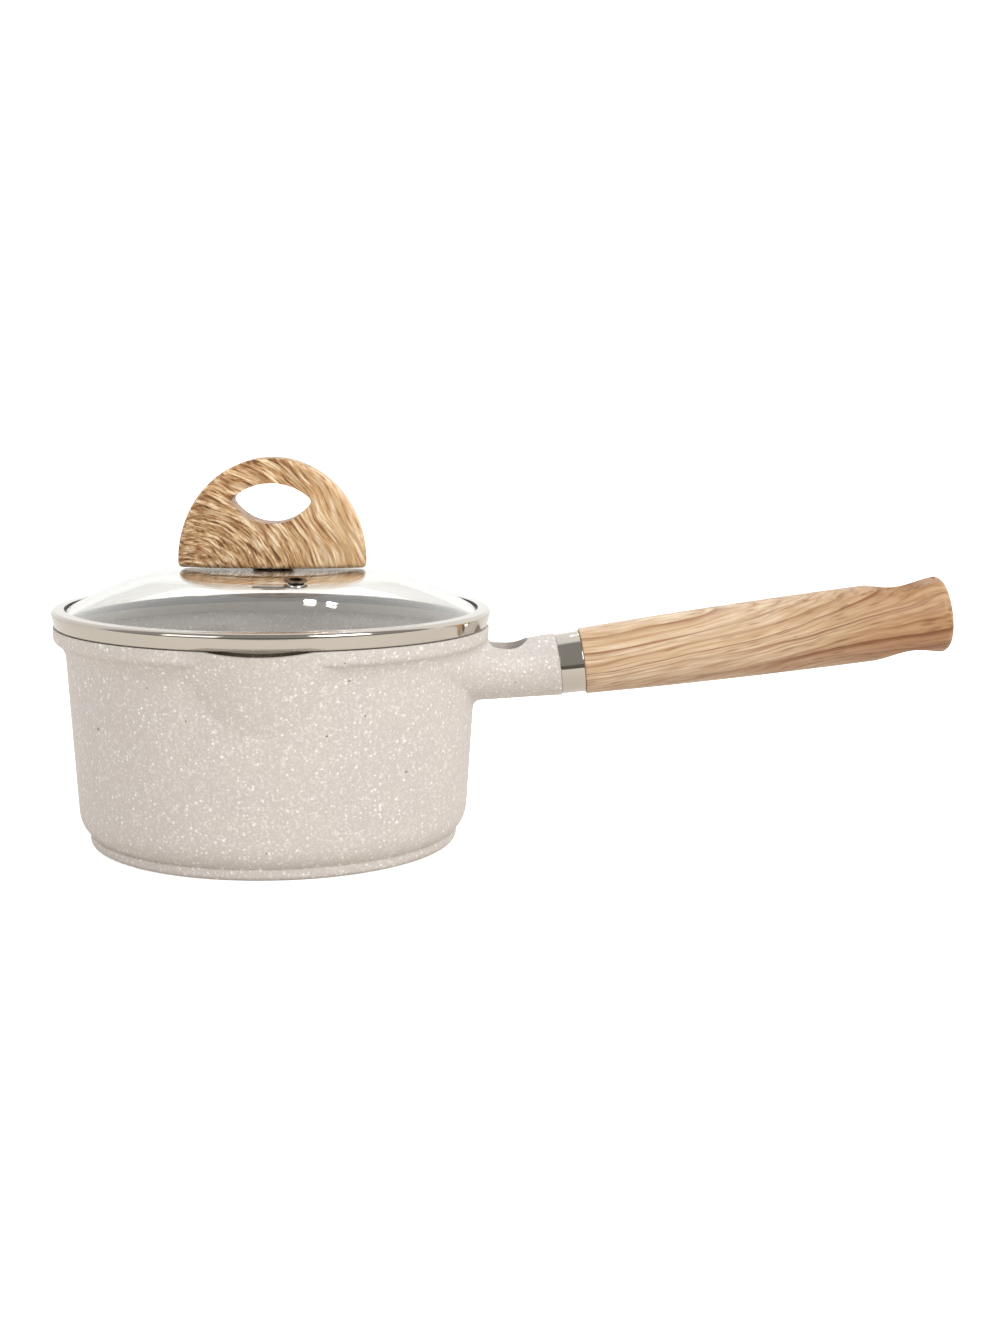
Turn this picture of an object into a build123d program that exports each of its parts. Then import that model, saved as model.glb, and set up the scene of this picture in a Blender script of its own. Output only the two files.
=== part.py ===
from build123d import *

import os
from math import cos, radians, sin, sqrt

# Saucepan: cast aluminium body with a flared rim, two pouring spouts and a cast handle neck; steel
# ferrule; moulded wood-effect grip; domed glass lid with a steel rim band, vent eyelet and D-shaped knob.
# Millimetres. Origin: pan axis on the underside of the foot. +Z up, +X towards the handle, spouts on -Y
# and +Y.

# --- Driving dimensions: pan -------------------------------------------------------------------
RIM_RADIUS = 83.4            # outside of the rim band
PAN_HEIGHT = 84.0            # foot to rim top
WALL_TOP_RADIUS = 78.8       # outside wall just below the flare
WALL_TOP_Z = 72.5
WALL_LOW_RADIUS = 75.2       # outside wall at the top of the bottom rounding
WALL_LOW_Z = 13.5
FOOT_RADIUS = 71.2
FOOT_HEIGHT = 4.3
FOOT_EDGE = 2.2              # rounding of the foot's lower edge
CREASE_DEPTH = 0.7           # groove between the foot and the bottom rounding
WALL = 2.8
FLOOR_Z = 5.6                # inside floor
INNER_CORNER = 13.0
RIM_BORE_RADIUS = 80.3       # inside of the rim band, where the lid's flange drops in
RIM_BORE_Z = 80.0
FLARE_LAG = 1.5              # the flare starts this much higher inside than outside

# --- Driving dimensions: spouts ----------------------------------------------------------------
SPOUT_Z = 53.0               # where the spout's bulge leaves the wall
SPOUT_LOW_RADIUS = 34.0
SPOUT_LOW_OFFSET = 43.7
SPOUT_RIM_RADIUS = 44.0
SPOUT_RIM_OFFSET = 43.4
LIP_DIP = 1.4                # how far the lip dips below the rim
LIP_HALF_WIDTH = 19.0

# --- Driving dimensions: base disc -------------------------------------------------------------
DISC_RADIUS = 58.0
DISC_THICKNESS = 1.0
DISC_RECESS = 1.2
DISC_HOLE_RADIUS = 1.8
DISC_RINGS = ((14.0, 8), (26.0, 16), (38.0, 24), (50.0, 32))   # ring radius, holes

# --- Driving dimensions: handle ----------------------------------------------------------------
HANDLE_TILT = 7.65           # degrees above horizontal
NECK_END_X = 110.7           # centre of the neck's end face
NECK_END_Z = 67.9
NECK_HALF_WIDTH = 13.0
NECK_HALF_HEIGHT = 12.15
NECK_FILLET = 3.0            # where the neck meets the wall
NECK_ROOT_LOW_Z = 45.0       # everything of the neck's root is above this
FERRULE_LENGTH = 9.6
FERRULE_INSET = 0.45         # ferrule surface below the neck's surface
SPIGOT_HALF_WIDTH = 9.0
SPIGOT_HALF_HEIGHT = 8.3
SPIGOT_LENGTH = 17.0
GRIP_LENGTH = 146.2
GRIP_SECTIONS = ((0.0, 12.9, 12.9), (49.0, 13.4, 14.4), (117.0, 14.1, 15.1), (146.2, 14.2, 15.0))
GRIP_END_EDGE = 3.6
GRIP_END_CROWN = 70.0        # radius that domes the end face
GRIP_FRONT_EDGE = 0.6
HANG_HOLE_AT = 128.5         # along the grip from its front face
HANG_HOLE_RADIUS = 5.6
HANG_HOLE_LAND = 6.5         # half the length of the straight part of the hole
HANG_HOLE_FLARE = 8.0        # width and depth of the dished mouths
HANG_HOLE_CURVE = 12.0       # radius of their profile

# --- Driving dimensions: window in the neck and the handle screw --------------------------------
WINDOW_X = 90.4
WINDOW_HALF_LENGTH = 8.3
WINDOW_HALF_WIDTH = 9.6
WINDOW_FLOOR_Z = 59.0
SCREW_RADIUS = 2.95          # M6 shank
SCREW_HEAD_RADIUS = 5.0
SCREW_HEAD_LENGTH = 6.0
SCREW_LENGTH = 45.0
SCREW_HOLE_RADIUS = 3.3
SCREW_SOCKET_RADIUS = 2.9    # across-corners radius of the hexagon socket
SEAT_AT = -11.5              # spot-face for the washer, along the handle from the neck's end
SPRING_WASHER = (3.1, 5.9, 1.6)                    # inner radius, outer radius, thickness
GRIP_INSERT = (3.0, 5.0, 13.6)                     # thread radius, outer radius, length

# --- Driving dimensions: lid -------------------------------------------------------------------
SEAT_Z = 105.3               # flat seat of the glass under the knob
SEAT_RADIUS = 32.0
GLASS_RADIUS = 80.8
GLASS_THICKNESS = 3.3
DOME_RADIUS = 163.0
DOME_CENTRE_Z = -52.8
CENTRE_HOLE_RADIUS = 3.6
VENT_RADIUS_AT = 41.4
VENT_ANGLE = -74.9           # degrees from +X
VENT_HOLE_RADIUS = 3.3
BAND_RADIUS = 83.9
BAND_SHOULDER_Z = 89.1
BAND_LOW_RADIUS = 82.9
BAND_LOW_Z = 84.3            # 0.3 clear of the rim
BAND_SHEET = 0.5
FLANGE_RADIUS = 79.3
FLANGE_LOW_Z = 80.4
LIP_RADIUS = 79.0            # inner edge of the lip that holds the glass
LIP_Z = 90.9
SEAL_RADIUS = 78.5           # the seal shows inside the lip
EYELET = (2.4, 4.3, 0.45)    # bore radius, flange radius, height of the rolled flange

# --- Driving dimensions: knob ------------------------------------------------------------------
KNOB_HALF_WIDTH = 35.9
KNOB_BASE_Z = 105.7
KNOB_TOP_Z = 147.8
KNOB_END_LIFT = 0.3          # how far the ends of the underside rise
KNOB_HALF_DEPTH = 10.5
KNOB_TOP_HALF_DEPTH = 8.0
KNOB_PLAN_HALF_LENGTH = 43.8    # of the ellipse that bows the faces; the ends cut it short
KNOB_EDGE = 2.0
FINGER_HOLE_HALF_WIDTH = 15.4
FINGER_HOLE_TOP_Z = 138.2
FINGER_HOLE_BOTTOM_Z = 122.8
FINGER_HOLE_TIP_Z = 131.8
KNOB_SCREW_LENGTH = 16.0
KNOB_INSERT = (2.5, 3.8, 9.0)                      # thread radius, outer radius, length
KNOB_SCREW_HEAD = (4.6, 2.6)                       # radius, height
GASKET_THICKNESS = 0.7
GASKET_RADIUS = 7.0
KNOB_WASHER = (2.7, 8.0, 1.0)                      # inner radius, outer radius, thickness

HANDLE_DIR = (cos(radians(HANDLE_TILT)), 0, sin(radians(HANDLE_TILT)))


def handle_plane(distance):
    """Plane across the handle, a distance along its axis from the neck's end: local x is +Y, local y up."""
    origin = (NECK_END_X + distance * HANDLE_DIR[0], 0, NECK_END_Z + distance * HANDLE_DIR[2])
    return Plane(origin=origin, x_dir=(0, 1, 0), z_dir=HANDLE_DIR)


def ring(inner, outer, thickness, plane):
    """Flat ring standing on a plane, on the side of its normal."""
    with BuildPart() as blank:
        with BuildSketch(plane):
            Circle(outer)
            Circle(inner, mode=Mode.SUBTRACT)
        extrude(amount=thickness)
    return blank


def write(built, name):
    """Labels a finished sub-part and writes its STEP file."""
    built.part.label = name
    export_step(built.part, f"parts/{name}.step")


def spout(side, inset):
    """One pouring spout as a solid cone against the wall; inset makes the smaller one that hollows it."""
    with BuildPart() as cone:
        with BuildSketch(Plane.XY.offset(SPOUT_Z)):
            with Locations((0, side * SPOUT_LOW_OFFSET)):
                Circle(SPOUT_LOW_RADIUS - inset)
        with BuildSketch(Plane.XY.offset(PAN_HEIGHT)):
            with Locations((0, side * SPOUT_RIM_OFFSET)):
                Circle(SPOUT_RIM_RADIUS - inset)
        loft()
    return cone.part


os.makedirs("parts", exist_ok=True)

# --- Pan body ----------------------------------------------------------------------------------
wall_lean = (WALL_TOP_RADIUS - WALL_LOW_RADIUS) / (WALL_TOP_Z - WALL_LOW_Z)

with BuildPart() as cavity:
    inner_top = WALL_TOP_RADIUS - WALL
    inner_low = inner_top - wall_lean * (WALL_TOP_Z - FLOOR_Z - INNER_CORNER)
    with BuildSketch(Plane.XZ):
        with BuildLine():
            bottom = Line((0, FLOOR_Z), (inner_low - INNER_CORNER, FLOOR_Z))
            corner = TangentArc(bottom @ 1, (inner_low, FLOOR_Z + INNER_CORNER), tangent=(1, 0))
            side = Line(corner @ 1, (inner_top + wall_lean * FLARE_LAG, WALL_TOP_Z + FLARE_LAG))
            flare = Spline(
                side @ 1, (RIM_BORE_RADIUS, RIM_BORE_Z), tangents=[(wall_lean, 1), (0, 1)]
            )
            Polyline(flare @ 1, (RIM_BORE_RADIUS, PAN_HEIGHT + 5), (0, PAN_HEIGHT + 5), (0, FLOOR_Z))
        make_face()
    revolve(axis=Axis.Z)

with BuildPart() as pan_body:
    with BuildSketch(Plane.XZ):
        with BuildLine():
            under = Line((0, 0), (FOOT_RADIUS - FOOT_EDGE, 0))
            edge = TangentArc(under @ 1, (FOOT_RADIUS, FOOT_EDGE), tangent=(1, 0))
            foot = Line(edge @ 1, (FOOT_RADIUS, FOOT_HEIGHT - CREASE_DEPTH / 2))
            crease = Polyline(
                foot @ 1,
                (FOOT_RADIUS - CREASE_DEPTH, FOOT_HEIGHT),
                (FOOT_RADIUS, FOOT_HEIGHT + CREASE_DEPTH),
            )
            rounding = Spline(
                crease @ 1, (WALL_LOW_RADIUS, WALL_LOW_Z), tangents=[(0.75, 0.66), (wall_lean, 1)]
            )
            outer_side = Line(rounding @ 1, (WALL_TOP_RADIUS, WALL_TOP_Z))
            outer_flare = Spline(
                outer_side @ 1,
                (WALL_TOP_RADIUS + 0.7, WALL_TOP_Z + 2.7),
                (RIM_RADIUS - 2.1, WALL_TOP_Z + 5.3),
                (RIM_RADIUS, WALL_TOP_Z + 8.3),
                tangents=[(wall_lean, 1), (0, 1)],
            )
            Polyline(outer_flare @ 1, (RIM_RADIUS, PAN_HEIGHT), (0, PAN_HEIGHT), (0, 0))
        make_face()
    revolve(axis=Axis.Z)
    add(spout(-1, 0))
    add(spout(1, 0))
    # Neck: wide where it leaves the wall, narrowing to the ferrule; each section is two half ellipses
    neck_sections = (            # x, half width, z of the widest level, depth below it, height above it
        (57.0, 51.0, 74.5, 20.4, 3.4),
        (70.0, 39.0, 73.2, 19.1, 4.0),
        (84.0, 21.5, 68.6, 14.3, 7.4),
        (98.0, 14.3, 66.7, 11.7, 11.4),
    )
    for x, half_width, level, below, above in neck_sections:
        with BuildSketch(Plane(origin=(x, 0, level), x_dir=(0, 1, 0), z_dir=(1, 0, 0))):
            with BuildLine():
                EllipticalCenterArc((0, 0), half_width, below, start_angle=180, arc_size=180)
                EllipticalCenterArc((0, 0), half_width, above, start_angle=0, arc_size=180)
            make_face()
    with BuildSketch(handle_plane(0)):
        with BuildLine():
            EllipticalCenterArc((0, 0), NECK_HALF_WIDTH, NECK_HALF_HEIGHT, start_angle=180, arc_size=180)
            EllipticalCenterArc((0, 0), NECK_HALF_WIDTH, NECK_HALF_HEIGHT, start_angle=0, arc_size=180)
        make_face()
    loft()
    # Round the inside corner all along the line where the neck leaves the wall
    neck_root = [
        edge for edge in pan_body.edges()
        if edge.bounding_box().min.X > WALL_TOP_RADIUS / 2 and edge.bounding_box().max.X < RIM_RADIUS
        and edge.bounding_box().min.Z > NECK_ROOT_LOW_Z
    ]
    fillet(neck_root, NECK_FILLET)
    # Spigot that carries the ferrule and enters the grip
    with BuildSketch(handle_plane(0)):
        Ellipse(SPIGOT_HALF_WIDTH, SPIGOT_HALF_HEIGHT)
    extrude(amount=SPIGOT_LENGTH)
    # Hollow the pan and its spouts, then dip the lips
    add(cavity.part, mode=Mode.SUBTRACT)
    for side in (-1, 1):
        add(spout(side, WALL), mode=Mode.SUBTRACT)
    lip_cut_radius = (LIP_HALF_WIDTH**2 + LIP_DIP**2) / (2 * LIP_DIP)
    with BuildSketch(Plane.XZ):
        with Locations((0, PAN_HEIGHT - LIP_DIP + lip_cut_radius)):
            Circle(lip_cut_radius)
    extrude(amount=RIM_RADIUS * 2, both=True, mode=Mode.SUBTRACT)
    # Recess for the base disc
    with BuildSketch(Plane.XY):
        Circle(DISC_RADIUS + 0.1)
    extrude(amount=DISC_RECESS, mode=Mode.SUBTRACT)
    # Window, its spot-faced seat and the screw hole through the web
    with BuildSketch(Plane.XY.offset(WINDOW_FLOOR_Z)):
        with Locations((WINDOW_X, 0)):
            Ellipse(WINDOW_HALF_LENGTH, WINDOW_HALF_WIDTH)
    extrude(amount=40, mode=Mode.SUBTRACT)
    with BuildSketch(handle_plane(SEAT_AT)):
        Circle(SPRING_WASHER[1] + 0.3)
    extrude(amount=-10, mode=Mode.SUBTRACT)
    with BuildSketch(handle_plane(SPIGOT_LENGTH + 1)):
        Circle(SCREW_HOLE_RADIUS)
    extrude(amount=-(SPIGOT_LENGTH - SEAT_AT + 6), mode=Mode.SUBTRACT)
write(pan_body, "pan_body")

# --- Base disc: perforated steel pressed into the foot -------------------------------------------
with BuildPart() as induction_disc:
    with BuildSketch(Plane.XY.offset(DISC_RECESS - DISC_THICKNESS)):
        Circle(DISC_RADIUS)
        for ring_radius, holes in DISC_RINGS:
            with PolarLocations(ring_radius, holes):
                Circle(DISC_HOLE_RADIUS, mode=Mode.SUBTRACT)
    extrude(amount=DISC_THICKNESS)
write(induction_disc, "induction_disc")

# --- Ferrule between the neck and the grip -------------------------------------------------------
with BuildPart() as ferrule:
    with BuildSketch(handle_plane(0)):
        Ellipse(NECK_HALF_WIDTH - FERRULE_INSET, NECK_HALF_HEIGHT - FERRULE_INSET)
    with BuildSketch(handle_plane(FERRULE_LENGTH)):
        Ellipse(GRIP_SECTIONS[0][1] - FERRULE_INSET, GRIP_SECTIONS[0][2] - 2 * FERRULE_INSET)
    loft()
    with BuildSketch(handle_plane(0)):
        Ellipse(SPIGOT_HALF_WIDTH + 0.1, SPIGOT_HALF_HEIGHT + 0.1)
    extrude(amount=FERRULE_LENGTH + 1, mode=Mode.SUBTRACT)
write(ferrule, "ferrule")

# --- Grip: oval, swelling towards a domed end, with a dished hang hole ---------------------------
grip_front = FERRULE_LENGTH
spigot_tip = SPIGOT_LENGTH
insert_thread, insert_radius, insert_length = GRIP_INSERT

with BuildPart() as hang_hole:
    hole_origin = (
        NECK_END_X + (grip_front + HANG_HOLE_AT) * HANDLE_DIR[0],
        0,
        NECK_END_Z + (grip_front + HANG_HOLE_AT) * HANDLE_DIR[2],
    )
    hole_up = (-HANDLE_DIR[2], 0, HANDLE_DIR[0])
    across_hole = Plane(origin=hole_origin, x_dir=HANDLE_DIR, z_dir=(0, -1, 0))   # local y runs up the hole
    mouth = HANG_HOLE_LAND + HANG_HOLE_FLARE
    mouth_radius = HANG_HOLE_RADIUS + HANG_HOLE_FLARE
    with BuildSketch(across_hole):
        with BuildLine():
            Line((0, -mouth), (0, mouth))
            Line((0, mouth), (mouth_radius, mouth))
            RadiusArc((mouth_radius, mouth), (HANG_HOLE_RADIUS, HANG_HOLE_LAND), -HANG_HOLE_CURVE)
            Line((HANG_HOLE_RADIUS, HANG_HOLE_LAND), (HANG_HOLE_RADIUS, -HANG_HOLE_LAND))
            RadiusArc((HANG_HOLE_RADIUS, -HANG_HOLE_LAND), (mouth_radius, -mouth), -HANG_HOLE_CURVE)
            Line((mouth_radius, -mouth), (0, -mouth))
        make_face()
    revolve(axis=Axis(hole_origin, hole_up))
    for direction in (1, -1):
        with BuildSketch(Plane(
            origin=[o + direction * mouth * u for o, u in zip(hole_origin, hole_up)],
            x_dir=(0, 1, 0), z_dir=[direction * u for u in hole_up],
        )):
            Circle(mouth_radius)
        extrude(amount=6)

with BuildPart() as end_cutter:
    with BuildSketch(handle_plane(grip_front + GRIP_LENGTH - 10)):
        Circle(2 * GRIP_SECTIONS[-1][2])
    extrude(amount=20)
    with Locations(handle_plane(grip_front + GRIP_LENGTH - GRIP_END_CROWN)):
        Sphere(GRIP_END_CROWN, mode=Mode.SUBTRACT)

with BuildPart() as grip:
    for distance, half_width, half_height in GRIP_SECTIONS:
        with BuildSketch(handle_plane(grip_front + distance)):
            Ellipse(half_width, half_height)
    loft()
    add(end_cutter.part, mode=Mode.SUBTRACT)
    handle_axis = Axis((NECK_END_X, 0, NECK_END_Z), HANDLE_DIR)
    fillet(grip.faces().sort_by(handle_axis)[-1].edges(), GRIP_END_EDGE)
    fillet(grip.faces().sort_by(handle_axis)[0].edges(), GRIP_FRONT_EDGE)
    add(hang_hole.part, mode=Mode.SUBTRACT)
    # Socket for the spigot, then the bores for the threaded insert and the screw's tip
    with BuildSketch(handle_plane(grip_front - 1)):
        Ellipse(SPIGOT_HALF_WIDTH + 0.1, SPIGOT_HALF_HEIGHT + 0.1)
    extrude(amount=spigot_tip - grip_front + 1.3, mode=Mode.SUBTRACT)
    with BuildSketch(handle_plane(spigot_tip)):
        Circle(insert_radius)
    extrude(amount=insert_length + 0.3, mode=Mode.SUBTRACT)
    with BuildSketch(handle_plane(spigot_tip + insert_length)):
        Circle(SCREW_HOLE_RADIUS)
    extrude(amount=4, mode=Mode.SUBTRACT)
write(grip, "grip")

# --- Threaded insert, screw and spring washer that hold the grip on ------------------------------
write(ring(insert_thread, insert_radius, insert_length, handle_plane(spigot_tip + 0.3)), "grip_insert")

washer_inner, washer_outer, washer_thickness = SPRING_WASHER
with BuildPart() as handle_spring_washer:
    with BuildSketch(handle_plane(SEAT_AT)):
        Circle(washer_outer)
        Circle(washer_inner, mode=Mode.SUBTRACT)
        with Locations((0, washer_outer)):
            Rectangle(0.9, 2 * washer_outer - washer_inner, mode=Mode.SUBTRACT)
    extrude(amount=-washer_thickness)
write(handle_spring_washer, "handle_spring_washer")

head_seat = SEAT_AT - washer_thickness
with BuildPart() as handle_screw:
    with BuildSketch(handle_plane(head_seat)):
        Circle(SCREW_RADIUS)
    extrude(amount=SCREW_LENGTH)
    with BuildSketch(handle_plane(head_seat)):
        Circle(SCREW_HEAD_RADIUS)
    extrude(amount=-SCREW_HEAD_LENGTH)
    chamfer(handle_screw.faces().sort_by(handle_axis)[-1].edges(), 0.6)
    chamfer(handle_screw.faces().sort_by(handle_axis)[0].edges(), 0.4)
    with BuildSketch(handle_plane(head_seat - SCREW_HEAD_LENGTH)):
        RegularPolygon(SCREW_SOCKET_RADIUS, 6)
    extrude(amount=3, mode=Mode.SUBTRACT)
write(handle_screw, "handle_screw")

# --- Lid glass: flat seat, blend arc and shallow sphere, with holes for the knob screw and vent ---
blend_radius = (
    (DOME_RADIUS**2 - SEAT_RADIUS**2 - (SEAT_Z - DOME_CENTRE_Z) ** 2)
    / (2 * (DOME_RADIUS - (SEAT_Z - DOME_CENTRE_Z)))
)


def dome_height(radius, depth=0):
    """Height of the glass at a distance from the axis, on its outside or a depth below it."""
    tangent_at = SEAT_RADIUS * DOME_RADIUS / (DOME_RADIUS - blend_radius)
    if radius <= SEAT_RADIUS:
        return SEAT_Z - depth
    if radius <= tangent_at * (DOME_RADIUS - depth) / DOME_RADIUS:
        arc = blend_radius - depth
        return SEAT_Z - blend_radius + sqrt(arc**2 - (radius - SEAT_RADIUS) ** 2)
    return DOME_CENTRE_Z + sqrt((DOME_RADIUS - depth) ** 2 - radius**2)


def dome_line(depth, edge_radius):
    """The glass's profile from its axis to an edge radius, as a line and two tangent arcs."""
    scale = (DOME_RADIUS - depth) / (DOME_RADIUS - blend_radius)
    tangent_at = (SEAT_RADIUS * scale, DOME_CENTRE_Z + (SEAT_Z - blend_radius - DOME_CENTRE_Z) * scale)
    seat = Line((0, SEAT_Z - depth), (SEAT_RADIUS, SEAT_Z - depth))
    blend = TangentArc(seat @ 1, tangent_at, tangent=(1, 0))
    TangentArc(blend @ 1, (edge_radius, dome_height(edge_radius, depth)), tangent=blend % 1)


vent_at = (VENT_RADIUS_AT * cos(radians(VENT_ANGLE)), VENT_RADIUS_AT * sin(radians(VENT_ANGLE)))
vent_slope = (VENT_RADIUS_AT - SEAT_RADIUS) / blend_radius
vent_normal = (
    vent_slope * cos(radians(VENT_ANGLE)), vent_slope * sin(radians(VENT_ANGLE)), sqrt(1 - vent_slope**2)
)
vent_plane = Plane(origin=(*vent_at, dome_height(VENT_RADIUS_AT)), z_dir=vent_normal)

with BuildPart() as lid_glass:
    with BuildSketch(Plane.XZ):
        with BuildLine():
            dome_line(0, GLASS_RADIUS)
            dome_line(GLASS_THICKNESS, GLASS_RADIUS)
            Line((0, SEAT_Z), (0, SEAT_Z - GLASS_THICKNESS))
            Line(
                (GLASS_RADIUS, dome_height(GLASS_RADIUS)),
                (GLASS_RADIUS, dome_height(GLASS_RADIUS, GLASS_THICKNESS)),
            )
        make_face()
    revolve(axis=Axis.Z)
    with BuildSketch(Plane.XY.offset(SEAT_Z - 10)):
        Circle(CENTRE_HOLE_RADIUS)
    extrude(amount=20, mode=Mode.SUBTRACT)
    with BuildSketch(vent_plane):
        Circle(VENT_HOLE_RADIUS)
    extrude(amount=10, both=True, mode=Mode.SUBTRACT)
write(lid_glass, "lid_glass")

# --- Rim band: one steel sheet from the lip, round the shoulder and down to the locating flange --
shoulder_in = 1.4            # where the lip starts to turn down
with BuildPart() as lid_rim_band:
    with BuildSketch(Plane.XZ):
        with BuildLine():
            lip = Line((LIP_RADIUS, LIP_Z), (BAND_RADIUS - shoulder_in, LIP_Z - 0.2))
            turn = Spline(
                lip @ 1, (BAND_RADIUS, BAND_SHOULDER_Z), tangents=[(1, -0.06), (-0.05, -1)]
            )
            Polyline(
                turn @ 1,
                (BAND_LOW_RADIUS, BAND_LOW_Z),
                (FLANGE_RADIUS, BAND_LOW_Z),
                (FLANGE_RADIUS, FLANGE_LOW_Z),
                (FLANGE_RADIUS - BAND_SHEET, FLANGE_LOW_Z),
                (FLANGE_RADIUS - BAND_SHEET, BAND_LOW_Z + BAND_SHEET),
                (BAND_LOW_RADIUS - BAND_SHEET, BAND_LOW_Z + BAND_SHEET),
                (BAND_RADIUS - BAND_SHEET, BAND_SHOULDER_Z),
            )
            inner_turn = Spline(
                (BAND_RADIUS - BAND_SHEET, BAND_SHOULDER_Z),
                (BAND_RADIUS - shoulder_in, LIP_Z - 0.2 - BAND_SHEET),
                tangents=[(0.05, 1), (-1, 0.06)],
            )
            Polyline(inner_turn @ 1, (LIP_RADIUS, LIP_Z - BAND_SHEET), (LIP_RADIUS, LIP_Z))
        make_face()
    revolve(axis=Axis.Z)
write(lid_rim_band, "lid_rim_band")

# --- Dark silicone between the glass edge and the band, showing as a fine line at the lip --------
seal_gap = 0.03
with BuildPart() as rim_seal:
    with BuildSketch(Plane.XZ):
        with BuildLine():
            Polyline(
                (SEAL_RADIUS, dome_height(SEAL_RADIUS) + seal_gap),
                (SEAL_RADIUS, LIP_Z - BAND_SHEET - seal_gap),
                (BAND_RADIUS - shoulder_in, LIP_Z - 0.25 - BAND_SHEET - seal_gap),
                (BAND_LOW_RADIUS - BAND_SHEET - 0.1, BAND_SHOULDER_Z - 1),
                (BAND_LOW_RADIUS - BAND_SHEET - 0.1, BAND_LOW_Z + BAND_SHEET + seal_gap),
                (GLASS_RADIUS + seal_gap, BAND_LOW_Z + BAND_SHEET + seal_gap),
                (GLASS_RADIUS + seal_gap, dome_height(GLASS_RADIUS) + seal_gap),
                (SEAL_RADIUS, dome_height(SEAL_RADIUS) + seal_gap),
            )
        make_face()
    revolve(axis=Axis.Z)
write(rim_seal, "rim_seal")

# --- Vent eyelet rolled over both faces of the glass ---------------------------------------------
eyelet_bore, eyelet_flange, eyelet_roll = EYELET
with BuildPart() as vent_eyelet:
    with BuildSketch(vent_plane.offset(-GLASS_THICKNESS - eyelet_roll)):
        Circle(eyelet_flange)
    extrude(amount=GLASS_THICKNESS + 2 * eyelet_roll)
    # The groove is deeper below, where the inside of the glass curves down past the flange
    with BuildSketch(vent_plane.offset(-GLASS_THICKNESS - 0.25)):
        Circle(eyelet_flange + 1)
        Circle(VENT_HOLE_RADIUS - 0.05, mode=Mode.SUBTRACT)
    extrude(amount=GLASS_THICKNESS + 0.27, mode=Mode.SUBTRACT)
    fillet(vent_eyelet.faces().sort_by(Axis(vent_plane.origin, vent_plane.z_dir))[-1].edges(), 0.3)
    with BuildSketch(vent_plane):
        Circle(eyelet_bore)
    extrude(amount=10, both=True, mode=Mode.SUBTRACT)
write(vent_eyelet, "vent_eyelet")

# --- Knob fixing, from the top: gasket, glass, gasket, washer, screw -----------------------------
washer_bore, washer_radius, lid_washer_thickness = KNOB_WASHER
glass_under = SEAT_Z - GLASS_THICKNESS
washer_top = glass_under - GASKET_THICKNESS
screw_head_top = washer_top - lid_washer_thickness
write(ring(washer_bore, GASKET_RADIUS, KNOB_BASE_Z - SEAT_Z, Plane.XY.offset(SEAT_Z)), "knob_gasket_upper")
write(
    ring(washer_bore, washer_radius, GASKET_THICKNESS, Plane.XY.offset(washer_top)), "knob_gasket_lower"
)
write(
    ring(washer_bore, washer_radius, lid_washer_thickness, Plane.XY.offset(screw_head_top)), "knob_washer"
)

knob_thread, knob_insert_radius, knob_insert_length = KNOB_INSERT
screw_head_radius, screw_head_height = KNOB_SCREW_HEAD
with BuildPart() as knob_screw:
    with BuildSketch(Plane.XY.offset(screw_head_top - screw_head_height)):
        Circle(screw_head_radius)
    extrude(amount=screw_head_height)
    fillet(knob_screw.faces().sort_by(Axis.Z)[0].edges(), 1.2)
    with BuildSketch(Plane.XY.offset(screw_head_top)):
        Circle(knob_thread - 0.05)
    extrude(amount=KNOB_SCREW_LENGTH)
    chamfer(knob_screw.faces().sort_by(Axis.Z)[-1].edges(), 0.5)
    # Cross recess
    with BuildSketch(Plane.XY.offset(screw_head_top - screw_head_height)):
        Rectangle(4.6, 0.9)
        Rectangle(0.9, 4.6)
    extrude(amount=1.6, mode=Mode.SUBTRACT)
write(knob_screw, "knob_screw")

insert_base = KNOB_BASE_Z + 1.5
write(
    ring(knob_thread, knob_insert_radius, knob_insert_length, Plane.XY.offset(insert_base)), "knob_insert"
)

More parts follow.
